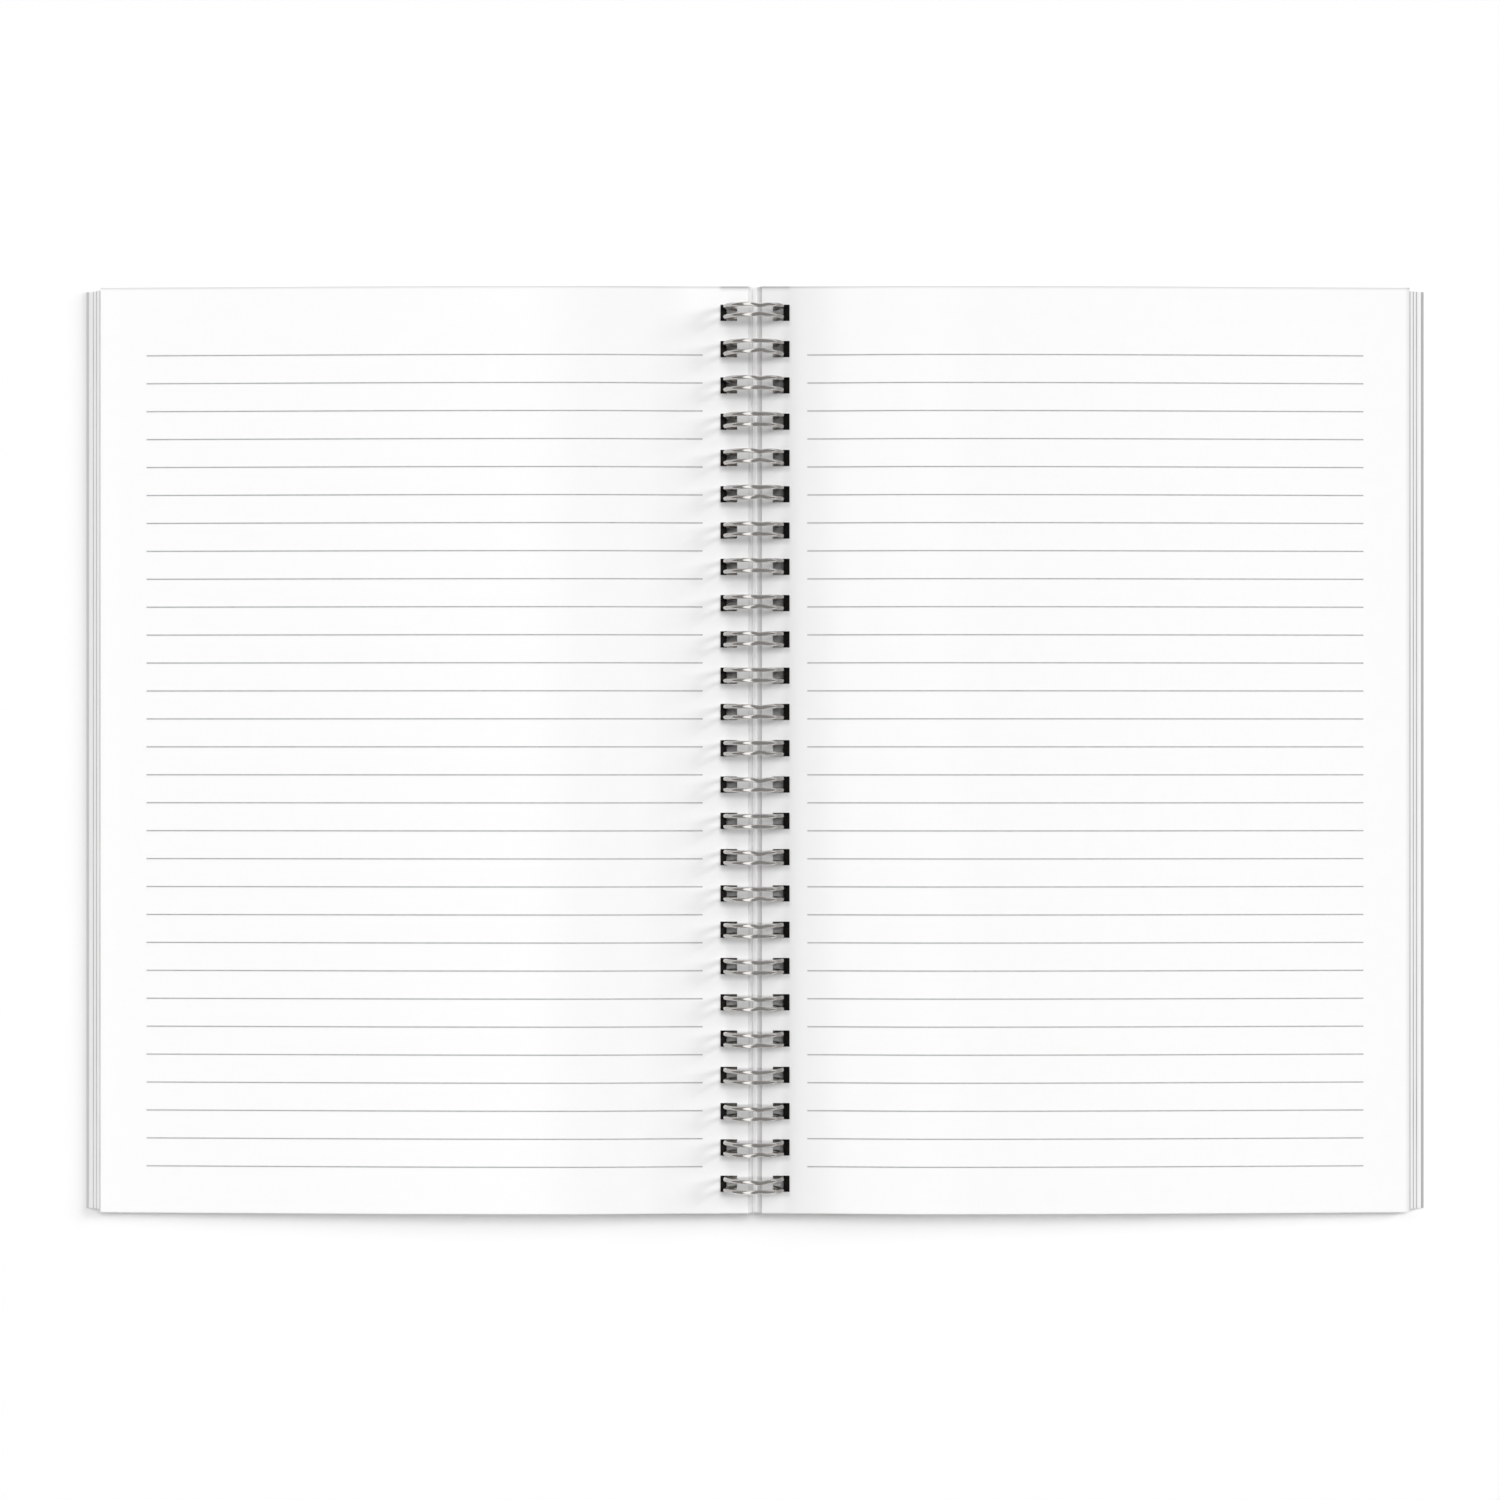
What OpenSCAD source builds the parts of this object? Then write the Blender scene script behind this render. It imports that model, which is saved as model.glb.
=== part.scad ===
// Open notebook bound with a twin-loop wire, lying flat on its two card covers.
// X runs across the open spread, Y along the wire towards the head of the pages,
// and Z is up. The origin is on the table, under the middle of the wire.

/* [Pages] */
// Height of the pages, along the wire
page_h = 216.3; // [120:0.1:300]
// Width of the top leaf, from its spine edge to its fore-edge
page_w = 151.5; // [110:0.1:220]
// Thickness of each stack of leaves where it is pressed together
stack_t = 2.3; // [1.6:0.1:3]
// How far the lowest leaf reaches past the top leaf
fan_reach = 2.95; // [1:0.05:6]
// How far the fanned edge ends short of the top leaf, at the head and at the tail
fan_short = 0.8; // [0.2:0.05:2]
// Bundles that the fanned fore-edge falls into
bundles = 5; // [3:1:8]

/* [Arch of the open pages] */
// Distance from the middle of the wire to the crown of the arch
crown_x = 42; // [30:1:60]
// How sharply the arch falls towards the fore-edge
arch_power = 1.2; // [0.9:0.1:1.6]
// Distance from the middle of the wire to where the cover meets the table
touch_x = 50; // [35:1:70]

/* [Covers] */
// Thickness of the card
cover_t = 0.45; // [0.3:0.05:0.8]
// How far a cover reaches past the lowest leaf
cover_reach = 0.7; // [0.5:0.1:4]

/* [Punched holes] */
// Distance from one hole to the next
pitch = 8.467; // [8:0.001:12.7]
// Width of a hole, across the wire
hole_w = 3.9; // [3.6:0.1:4.1]
// Height of a hole, along the wire
hole_h = 3.8; // [3.6:0.05:4.4]
// Paper left between a hole and the spine edge
hole_margin = 2.55; // [2.3:0.05:2.65]
// How far the middle of a hole hangs inward of the wire that fills it
hole_hang = 0.28; // [0.1:0.02:0.5]
// Width of the level strip of paper past the holes
strip_past = 0.5; // [0.2:0.1:3]
// Least paper left between the last hole and the head or tail
end_margin = 3.5; // [2.5:0.1:8]
// How far the row of holes sits off the middle of the pages, towards the head
row_shift = 0.4; // [-1:0.1:1]

/* [Wire] */
// Outer diameter of the closed loops
loop_d = 14.3; // [14:0.1:15.9]
// Diameter of the wire
wire_d = 1; // [0.7:0.05:1.1]
// Distance between the two strands of a loop
strand_gap = 2.45; // [2:0.05:2.6]
// Bend radius where a strand turns into a bar
bend_r = 1; // [0.8:0.05:1.2]
// Where the bars run, in degrees from the bottom of the loops towards the back cover
seam_angle = 28; // [24:0.5:32]
// Room between a closed loop tip and the bends that it points at
tip_room = 0.15; // [0.05:0.05:0.4]
// Flat sides round the wire, which lie on its true diameter
wire_sides = 6; // [5:1:6]
// Straight steps in each strand's way round the loop
strand_steps = 10; // [8:1:12]

/* [Ruled lines] */
// Distance from one line to the next
rule_pitch = 6.53; // [5:0.01:12]
// Width of a printed line
rule_w = 0.28; // [0.15:0.01:0.6]
// Blank margin above the first line
rule_head = 16; // [8:0.1:40]
// Least blank margin below the last line
rule_foot = 10.6; // [6:0.1:40]
// Blank margin from the spine edge to the start of the lines
rule_inner = 10.6; // [9:0.05:30]
// Blank margin from the end of the lines to the fore-edge
rule_outer = 10.85; // [5:0.05:30]
// Thickness of the ink film
ink_t = 0.03; // [0.02:0.01:0.05]

/* [Clearances] */
// Room between a cover and the bends at the feet of the loops, below it
bend_room = 0.36; // [0.25:0.01:0.8]
// Room left between the two crowns when the notebook is shut
shut_gap = 0.3; // [0.2:0.05:1]

/* [Hidden] */
$fn = 48;

paper_white = [0.96, 0.96, 0.95];
card_white = [0.9, 0.9, 0.89];
wire_grey = [0.62, 0.61, 0.61];
ink_grey = [0.6, 0.6, 0.6];

wire_r = wire_d / 2;
ring_z = loop_d / 2;
ring_r = ring_z - wire_r;

// Angles round the loops are measured from the bottom towards the back cover.
bar_swing = bend_r / ring_r * 180 / PI;
foot_angle = seam_angle + bar_swing;

// The bends at the feet of the loops lift the punched strip of a cover off the table.
spine_lift = ring_z - (ring_r - wire_r) * cos(foot_angle) + bend_room;
stack_low = spine_lift + cover_t;
spine_top = stack_low + stack_t;
fore_top = cover_t + stack_t;
crown_z = ring_z - shut_gap / 2 - ink_t;

// The leaves hang on the wire, so their spine edges and holes lean along its curve.
function wire_x(z) = sqrt(pow(ring_r, 2) - pow(ring_z - z, 2));
lean = wire_x(spine_top) - wire_x(stack_low);
hole_in = wire_x(spine_top) - hole_hang - hole_w / 2;
hole_out = hole_in + hole_w;
spine_x = hole_in - hole_margin;
strip_x = hole_out + strip_past;
fore_x = spine_x + page_w;
low_leaf_x = fore_x + fan_reach;
cover_x = low_leaf_x + cover_reach;

loops = floor((page_h - 2 * end_margin - hole_h) / pitch) + 1;
loop_ys = [for (i = [0:loops - 1]) row_shift + (i - (loops - 1) / 2) * pitch];

lines = floor((page_h - rule_head - rule_foot) / rule_pitch) + 1;
line_ys = [for (i = [0:lines - 1]) page_h / 2 - rule_head - i * rule_pitch];

// Underside of a cover: level at the punched strip, then down to the table.
function under_z(x) =
    x <= strip_x ? spine_lift :
    x >= touch_x ? 0 :
    spine_lift * (1 + cos(180 * (x - strip_x) / (touch_x - strip_x))) / 2;

// Top leaf: level at the punched strip, up to the crown, then down to the fore-edge.
function top_z(x) =
    x <= strip_x ? spine_top :
    x <= crown_x ? spine_top
        + (crown_z - spine_top) * (1 - cos(180 * (x - strip_x) / (crown_x - strip_x))) / 2 :
    fore_top + (crown_z - fore_top) * pow(cos(90 * (x - crown_x) / (fore_x - crown_x)), arch_power);

function steps(from, to, count) = [for (i = [1:count]) from + (to - from) * i / count];
under_xs = concat([spine_x - lean, strip_x], steps(strip_x, touch_x, 10));
top_xs = concat([spine_x, strip_x], steps(strip_x, crown_x, 8), steps(crown_x, fore_x, 14));
top_line = [for (x = top_xs) [x, top_z(x)]];

// The fanned fore-edge, from the lowest bundle up to the top leaf.
function bundle_x(k) = low_leaf_x - fan_reach * pow(k / (bundles - 1), arch_power);
function bundle_z(k) = cover_t + stack_t * k / bundles;
fore_steps = [for (k = [0:bundles - 1]) each [
    [bundle_x(k), bundle_z(k)],
    [bundle_x(k), bundle_z(k + 1)]]];

function reversed(list) = [for (i = [len(list) - 1:-1:0]) list[i]];

// Draws an outline in the X-Z plane and extrudes it along Y, about the middle.
module along_wire(length) {
    rotate([90, 0, 0]) linear_extrude(height = length, center = true) children();
}

module cover_holes() {
    for (y = loop_ys)
        translate([hole_in - lean, y - hole_h / 2, 0]) cube([hole_w, hole_h, loop_d]);
}

// Past the top leaf, the fanned edge and the cover under it stop a little short at both ends.
module fan_ends() {
    for (end = [-page_h / 2, page_h / 2])
        translate([fore_x, end - fan_short, -loop_d])
            cube([2 * (cover_x - fore_x), 2 * fan_short, 2 * loop_d]);
}

// Each hole of a stack runs past both of its faces by one stack thickness.
module page_holes() {
    low = [hole_in - 2 * lean, stack_low - stack_t];
    high = [hole_in + lean, spine_top + stack_t];
    across = [hole_w, 0];
    for (y = loop_ys)
        translate([0, y, 0]) along_wire(hole_h) polygon([low, low + across, high + across, high]);
}

module cover() {
    under = [for (x = concat(under_xs, [cover_x])) [x, under_z(x)]];
    upper = [for (p = under) [p[0], p[1] + cover_t]];
    difference() {
        along_wire(page_h) polygon(concat(under, reversed(upper)));
        cover_holes();
        fan_ends();
    }
}

module pages() {
    floor_line = [for (x = under_xs) [x, under_z(x) + cover_t]];
    difference() {
        along_wire(page_h)
            polygon(concat(floor_line, fore_steps, reversed([for (p = top_line) if (p[0] < fore_x) p])));
        page_holes();
        fan_ends();
    }
}

// Each printed line is a thin ribbon that lies on the top leaf.
module ruling() {
    start = spine_x + rule_inner;
    end = fore_x - rule_outer;
    inner = [for (p = top_line) if (p[0] > start && p[0] < end) p];
    bed = concat([[start, lookup(start, top_line)]], inner, [[end, lookup(end, top_line)]]);
    film = [for (p = bed) [p[0], p[1] + ink_t]];
    for (y = line_ys)
        translate([0, y, 0]) along_wire(rule_w) polygon(concat(bed, reversed(film)));
}

// The tip stops where its bend is tip_room short of the bends at the feet of its strands.
half_gap = strand_gap / 2;
tip_back = sqrt(pow(half_gap + bend_r + wire_d + tip_room, 2) - pow(half_gap + bend_r, 2));
tip_angle = foot_angle + 360 - tip_back / ring_r * 180 / PI;
strand_angles = [for (i = [0:strand_steps]) foot_angle + (tip_angle - foot_angle) * i / strand_steps];

// The wire's way is a list of stations on the round of the loops. A station is
// [angle round the loops, place along Y, distance forward of that angle on the flat
// that touches the round there, heading on that flat from forward (0) towards Y (90)].
function strand_out(y) = [for (a = strand_angles) [a, y, 0, 0]];
function strand_back(y) = [for (a = reversed(strand_angles)) [a, y, 0, 180]];
function tip_bend(y) = [for (turn = [45:45:135])
    [tip_angle, y - half_gap * cos(turn), half_gap * sin(turn), turn]];
function bend_to_bar(y) = [for (turn = [45, 90])
    [foot_angle, y + bend_r * (1 - cos(turn)), -bend_r * sin(turn), 180 - turn]];
function bend_from_bar(y) = [for (turn = [0, 45])
    [foot_angle, y - bend_r * (1 - sin(turn)), -bend_r * cos(turn), 90 - turn]];

wire_way = [for (i = [0:loops - 1]) each concat(
    i > 0 ? bend_from_bar(loop_ys[i] - half_gap) : [],
    strand_out(loop_ys[i] - half_gap),
    tip_bend(loop_ys[i]),
    strand_back(loop_ys[i] + half_gap),
    i < loops - 1 ? bend_to_bar(loop_ys[i] + half_gap) : [])];

// The ring of corners round one station of the wire's way.
function corners(station) =
    let (
        a = station[0],
        outward = [sin(a), 0, -cos(a)],
        forward = [cos(a), 0, sin(a)],
        middle = [0, station[1], ring_z] + ring_r * outward + station[2] * forward,
        side = -sin(station[3]) * forward + cos(station[3]) * [0, 1, 0],
        corner_r = wire_r / cos(180 / wire_sides))
    [for (k = [0:wire_sides - 1])
        let (turn = 360 * (k + 0.5) / wire_sides)
        middle + corner_r * (cos(turn) * outward + sin(turn) * side)];

module wire_binding() {
    rings = len(wire_way);
    around = [0:wire_sides - 1];
    sides = [for (i = [0:rings - 2], k = around)
        let (low = i * wire_sides, next = (k + 1) % wire_sides)
        [low + k, low + wire_sides + k, low + wire_sides + next, low + next]];
    first_end = [for (k = around) k];
    last_end = [for (k = around) rings * wire_sides - 1 - k];
    color(wire_grey) polyhedron(
        points = [for (station = wire_way) each corners(station)],
        faces = concat([first_end], sides, [last_end]));
}

module front_cover() { color(card_white) mirror([1, 0, 0]) cover(); }
module back_cover() { color(card_white) cover(); }
module left_pages() { color(paper_white) mirror([1, 0, 0]) pages(); }
module right_pages() { color(paper_white) pages(); }
module left_ruling() { color(ink_grey) mirror([1, 0, 0]) ruling(); }
module right_ruling() { color(ink_grey) ruling(); }

wire_binding();
front_cover();
left_pages();
left_ruling();
back_cover();
right_pages();
right_ruling();
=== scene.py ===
# %% [markdown]
# # An open notebook on a twin-loop wire
#
# The notebook lies open and flat. Two stacks of ruled leaves and two card covers hang on one wire,
# which is bent into a row of double loops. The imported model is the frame: it holds every piece at
# its real size and place. This lesson gives those pieces smooth surfaces and real finishes.

# %% Load the frame
import math

import bpy
import numpy as np
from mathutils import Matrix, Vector


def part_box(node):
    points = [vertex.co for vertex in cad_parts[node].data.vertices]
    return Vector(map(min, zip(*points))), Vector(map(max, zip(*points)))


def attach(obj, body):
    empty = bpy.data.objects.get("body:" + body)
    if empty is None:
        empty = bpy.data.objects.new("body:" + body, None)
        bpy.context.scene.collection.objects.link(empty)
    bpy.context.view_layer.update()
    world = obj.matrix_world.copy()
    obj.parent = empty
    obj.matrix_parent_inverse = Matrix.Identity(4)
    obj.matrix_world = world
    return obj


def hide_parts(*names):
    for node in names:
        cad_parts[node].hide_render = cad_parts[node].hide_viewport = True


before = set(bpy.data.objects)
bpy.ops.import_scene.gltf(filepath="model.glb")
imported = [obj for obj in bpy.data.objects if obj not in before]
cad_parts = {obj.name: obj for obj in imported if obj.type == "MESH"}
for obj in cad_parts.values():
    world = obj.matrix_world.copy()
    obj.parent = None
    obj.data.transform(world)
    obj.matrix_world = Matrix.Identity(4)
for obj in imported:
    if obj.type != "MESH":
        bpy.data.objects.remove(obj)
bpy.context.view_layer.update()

MM = 0.001

# %% [markdown]
# ## The sizes that the notebook is drawn from
#
# A wire-bound book is laid out from its wire. The holes are punched where the loops pass, the
# leaves hang on the loops, and the arch of the open pages has to stay below the middle of the
# loops, or the book could not shut. The places of the holes and of the spine edges could be read
# off a photograph one by one. Here they follow from the sizes of the wire, as they do in the packed
# model, so that the two always agree.

# %% Sizes of the wire
loop_d = 14.3 * MM                 # over the outside of a closed loop
wire_r = 0.5 * MM
half_gap = 2.45 / 2 * MM           # half the way between the two strands of a loop
bend_r = 1.0 * MM                  # of the bends between a loop and the short bars
tip_room = 0.15 * MM               # air between a hairpin tip and the feet of its own loop
seam_angle = math.radians(28)      # of the bars, from straight down, towards the back cover
hole_pitch = 8.467 * MM            # three holes to the inch

ring_z = loop_d / 2
ring_r = ring_z - wire_r
foot_angle = seam_angle + bend_r / ring_r
tip_back = math.sqrt((half_gap + bend_r + 2 * wire_r + tip_room) ** 2 - (half_gap + bend_r) ** 2)
tip_angle = foot_angle + 2 * math.pi - tip_back / ring_r
print("middle of the loops in mm:", round(ring_z / MM, 3))
print("a strand turns through", round(math.degrees(tip_angle - foot_angle)), "degrees")

# %% Sizes of the leaves, the covers and the holes
page_h = 216.3 * MM
page_w = 151.5 * MM
stack_t = 2.3 * MM          # one stack of leaves, pressed flat
fan_reach = 2.95 * MM       # the lowest leaf lies this far past the top one
fan_short = 0.8 * MM        # the fanned margins end this short of head and tail
bundles = 5
cover_t = 0.45 * MM
cover_reach = 0.7 * MM      # a cover lies this far past the lowest leaf
hole_w = 3.9 * MM
hole_h = 3.8 * MM
hole_margin = 2.55 * MM     # paper between the spine edge and a hole
hole_hang = 0.28 * MM       # the middle of a hole lies this far in from the wire
strip_past = 0.5 * MM       # level paper past the holes
crown_x = 42 * MM           # the highest line of the arch
touch_x = 50 * MM           # where a cover comes down to the table
arch_power = 1.2            # shapes the long slope and the steps of the fan
shut_gap = 0.3 * MM         # air between the two crowns when the book is shut
ink_t = 0.03 * MM
bend_room = 0.36 * MM       # air between the bends of the wire and the covers
end_margin = 3.5 * MM       # least paper between the row of holes and head or tail
row_shift = 0.4 * MM        # the row of holes lies this far towards the head

spine_lift = ring_z - (ring_r - wire_r) * math.cos(foot_angle) + bend_room
stack_low = spine_lift + cover_t
spine_top = stack_low + stack_t
fore_top = cover_t + stack_t
crown_z = ring_z - shut_gap / 2 - ink_t


def wire_x(z):
    """How far out the loops lie at a height: the root of their radius squared less the rise squared."""
    return math.sqrt(ring_r ** 2 - (ring_z - z) ** 2)


lean = wire_x(spine_top) - wire_x(stack_low)      # of the holes over the height of the stack
hole_in = wire_x(spine_top) - hole_hang - hole_w / 2
hole_out = hole_in + hole_w
spine_x = hole_in - hole_margin
strip_x = hole_out + strip_past
fore_x = spine_x + page_w
low_leaf_x = fore_x + fan_reach
cover_x = low_leaf_x + cover_reach

loops = int((page_h - 2 * end_margin - hole_h) / hole_pitch) + 1
loop_ys = row_shift + (np.arange(loops) - (loops - 1) / 2) * hole_pitch
packed_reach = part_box("right_pages")[1][0]
print("loops:", loops, "top leaf from", round(spine_x / MM, 2), "to", round(fore_x / MM, 2), "mm")
print("packed stack reaches", round(packed_reach / MM, 2), "and this one", round(low_leaf_x / MM, 2))

# %% [markdown]
# ## A mesh from whole arrays
#
# Every new piece here is a surface worked out with numpy. Pieces could also be built with modifiers,
# but an arch, a fan and a bent wire each follow a formula, and a formula is easiest to keep as an
# array. One helper puts the points and faces into a mesh, marks the sharp edges by their angle, and
# gives each face its finish. Marked edges keep a sheet soft along its arch and crisp where it was cut.

# %% Put points and faces into a mesh
def make_piece(name, points, faces, materials, face_material=None, point_values=None, crisp=30):
    """A mesh object from arrays of points and faces, with named values on its points if given."""
    mesh = bpy.data.meshes.new(name)
    mesh.from_pydata(points.tolist(), [], faces if isinstance(faces, list) else faces.tolist())
    for material in materials:
        mesh.materials.append(material)
    if face_material is not None:
        mesh.polygons.foreach_set("material_index", face_material.astype(np.int32))
    for key, values in (point_values or {}).items():
        layer = mesh.attributes.new(key, "FLOAT", "POINT")
        layer.data.foreach_set("value", values.astype(np.float32))
    mesh.shade_smooth()
    mesh.set_sharp_from_angle(angle=math.radians(crisp))
    mesh.update()
    piece = bpy.data.objects.new(name, mesh)
    bpy.context.scene.collection.objects.link(piece)
    print(name, "faces:", len(mesh.polygons))
    return piece


# %% [markdown]
# ## Shader maths that reads as Python
#
# A material's pattern is arithmetic on positions. Node by node that arithmetic is hard to read, so
# one small class wraps a node's output and lets the usual signs add the Math nodes. One method on
# the material adds any other node from its type, its settings and the values of its inputs.

# %% One output of a node, with the signs of arithmetic
MIX_FACTOR, MIX_FIRST, MIX_SECOND, MIX_OUT = 0, 6, 7, 2      # sockets of a node that mixes colours


class Signal:
    """One output in a node tree. Adding, multiplying and so on add Math nodes to the tree."""

    def __init__(self, finish, socket):
        self.finish = finish
        self.socket = socket

    def math(self, operation, *others, clamp=False):
        """A Math node with this value first. With clamp the result is held between 0 and 1."""
        inputs = dict(enumerate((self, *others)))
        return self.finish.add("ShaderNodeMath", {"operation": operation, "use_clamp": clamp}, inputs)

    def __add__(self, other):
        return self.math("ADD", other)

    __radd__ = __add__

    def __sub__(self, other):
        return self.math("SUBTRACT", other)

    def __rsub__(self, other):
        return (self * -1) + other

    def __mul__(self, other):
        return self.math("MULTIPLY", other)

    __rmul__ = __mul__

    def __truediv__(self, other):
        return self.math("DIVIDE", other)

    def __pow__(self, other):
        return self.math("POWER", other)

    def size(self):
        """The value without its sign."""
        return self.math("ABSOLUTE")

    def part(self):
        """What is left of the value past its last whole number."""
        return self.math("FRACT")

    def between(self, low, high, smooth=True):
        """0 up to low, 1 from high on, and a ramp between, eased at both ends or straight."""
        kind = "SMOOTHSTEP" if smooth else "LINEAR"
        inputs = {"Value": self, "From Min": low, "From Max": high}
        return self.finish.add("ShaderNodeMapRange", {"interpolation_type": kind}, inputs)

    def pick(self, at_0, at_1):
        """The first colour where this value is 0, the second where it is 1."""
        inputs = {MIX_FACTOR: self, MIX_FIRST: at_0, MIX_SECOND: at_1}
        return self.finish.add("ShaderNodeMix", {"data_type": "RGBA"}, inputs, out=MIX_OUT)

    def axis(self, letter):
        """One coordinate of a position."""
        return self.finish.add("ShaderNodeSeparateXYZ", None, {0: self}, out="XYZ".index(letter))


# %% A material as a bench of nodes
class Finish:
    """A material, with one method that adds any node and one that closes it with a shader."""

    def __init__(self, name):
        self.material = bpy.data.materials.new(name)
        self.material.use_nodes = True
        self.tree = self.material.node_tree
        self.tree.nodes.clear()

    def add(self, kind, settings=None, inputs=None, out=0):
        """Adds a node of any type, sets its settings and then its inputs, and returns one output."""
        node = self.tree.nodes.new(kind)
        for key, value in (settings or {}).items():
            setattr(node, key, value)
        for key, value in (inputs or {}).items():
            self.feed(node.inputs[key], value)
        return Signal(self, node.outputs[out]) if node.outputs else None

    def feed(self, socket, value):
        """Links a signal to a socket, or sets the socket to a plain value."""
        if isinstance(value, Signal):
            self.tree.links.new(value.socket, socket)
        else:
            socket.default_value = value

    def place(self):
        """Position on the piece, in metres, in its own frame."""
        return self.add("ShaderNodeTexCoord", None, None, out="Object")

    def value(self, name):
        """A value that the mesh carries on its points."""
        return self.add("ShaderNodeAttribute", {"attribute_name": name}, None, out="Fac")

    def grain(self, grain_size, detail=2.0, stretch=(1, 1, 1), place=None):
        """Soft noise from 0 to 1 with grains about as wide as grain_size, stretched along an axis."""
        vector = place or self.place()
        if stretch != (1, 1, 1):
            scale = {0: vector, 1: tuple(1 / s for s in stretch)}
            vector = self.add("ShaderNodeVectorMath", {"operation": "MULTIPLY"}, scale)
        inputs = {"Vector": vector, "Scale": 1 / grain_size, "Detail": detail}
        return self.add("ShaderNodeTexNoise", None, inputs)

    def bump(self, height, depth):
        """A surface that rises by depth, in metres, where height is 1."""
        inputs = {"Height": height, "Distance": depth, "Strength": 1.0}
        return self.add("ShaderNodeBump", None, inputs)

    def close(self, **sockets):
        """Ends the tree with a Principled shader. The name base_color means its socket Base Color."""
        inputs = {}
        for key, value in sockets.items():
            inputs[key.replace("_", " ").title().replace("Ior", "IOR")] = value
        shader = self.add("ShaderNodeBsdfPrincipled", None, inputs)
        self.add("ShaderNodeOutputMaterial", None, {"Surface": shader})
        print(self.material.name, "nodes:", len(self.tree.nodes))
        return self.material


def grey(level, warmth=0.0):
    """A grey of one level, with a little more red and less blue where warmth is above 0."""
    return (level * (1 + warmth), level, level * (1 - warmth), 1.0)


# %% [markdown]
# ## Writing paper
#
# The leaves are white uncoated paper. From a step away it is almost one colour. Close up it has
# a faint cloudiness, where the fibres lie thicker or thinner, and a very fine tooth. Painted shade
# greys it in a few places. It deepens towards the spine, where the sheet turns down between its
# neighbours. A painted shadow of each loop lies beside the wire and a little below it. Painted shade
# also darkens a band along the right fore-edge, and thin lines along the cut head and tail. A painted
# picture could carry all this, but then it would fit this one size only. So each mark is worked out
# from the place on the sheet. The slopes of the arch get a trace of shade as well, greyer on the left
# and lighter on the right, because the low lamp sets them apart too much. The two pages have their
# own levels for the same reason. The undersides show only when the leaves are turned over, and they
# are ruled like the top leaves.

# %% Marks and lines on a leaf
loop_shadow_start, loop_shadow_full = -3.8 * MM, -2.0 * MM      # from below a loop, where the painted loop shadow sets in, to above its middle, where it fades out
loop_shadow_fade, loop_shadow_end = 1.2 * MM, 1.9 * MM          # to above its middle, where it fades out


def loop_shadow_rows(along):
    """Painted loop shadow: 1 beside each loop's wire and fading out below it, from the place along the
    spine.
    """
    off_loop = (((along - row_shift) / hole_pitch + 0.5).part() - 0.5) * hole_pitch
    return off_loop.between(loop_shadow_start, loop_shadow_full) * (1 - off_loop.between(loop_shadow_fade, loop_shadow_end))


rule_pitch = 6.53 * MM
rule_first = page_h / 2 - 16 * MM
rule_count = 30
rule_start = spine_x + 10.6 * MM
rule_end = fore_x - 10.85 * MM
rule_soft = 0.1 * MM      # a line on the underside fades in and out over this length
print("ruled lines:", rule_count, "each", round((rule_end - rule_start) / MM, 1), "mm long")


def ruled_back(way_out, along, leaf):
    """1 on the printed lines of the underside, where the leaf value is 0, and 0 anywhere else."""
    lines_down = (rule_first - along) / rule_pitch + 0.5
    off_line = (lines_down.part() - 0.5).size() * rule_pitch
    rows_ruled = lines_down.between(0, 0.01) * (1 - lines_down.between(rule_count - 0.01, rule_count))
    past_end = way_out.between(rule_end - rule_soft, rule_end)
    width_ruled = way_out.between(rule_start, rule_start + rule_soft) * (1 - past_end)
    line = 1 - off_line.between(0.08 * MM, 0.2 * MM)
    return line * rows_ruled * width_ruled * (1 - leaf.between(0.4, 0.5))


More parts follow.
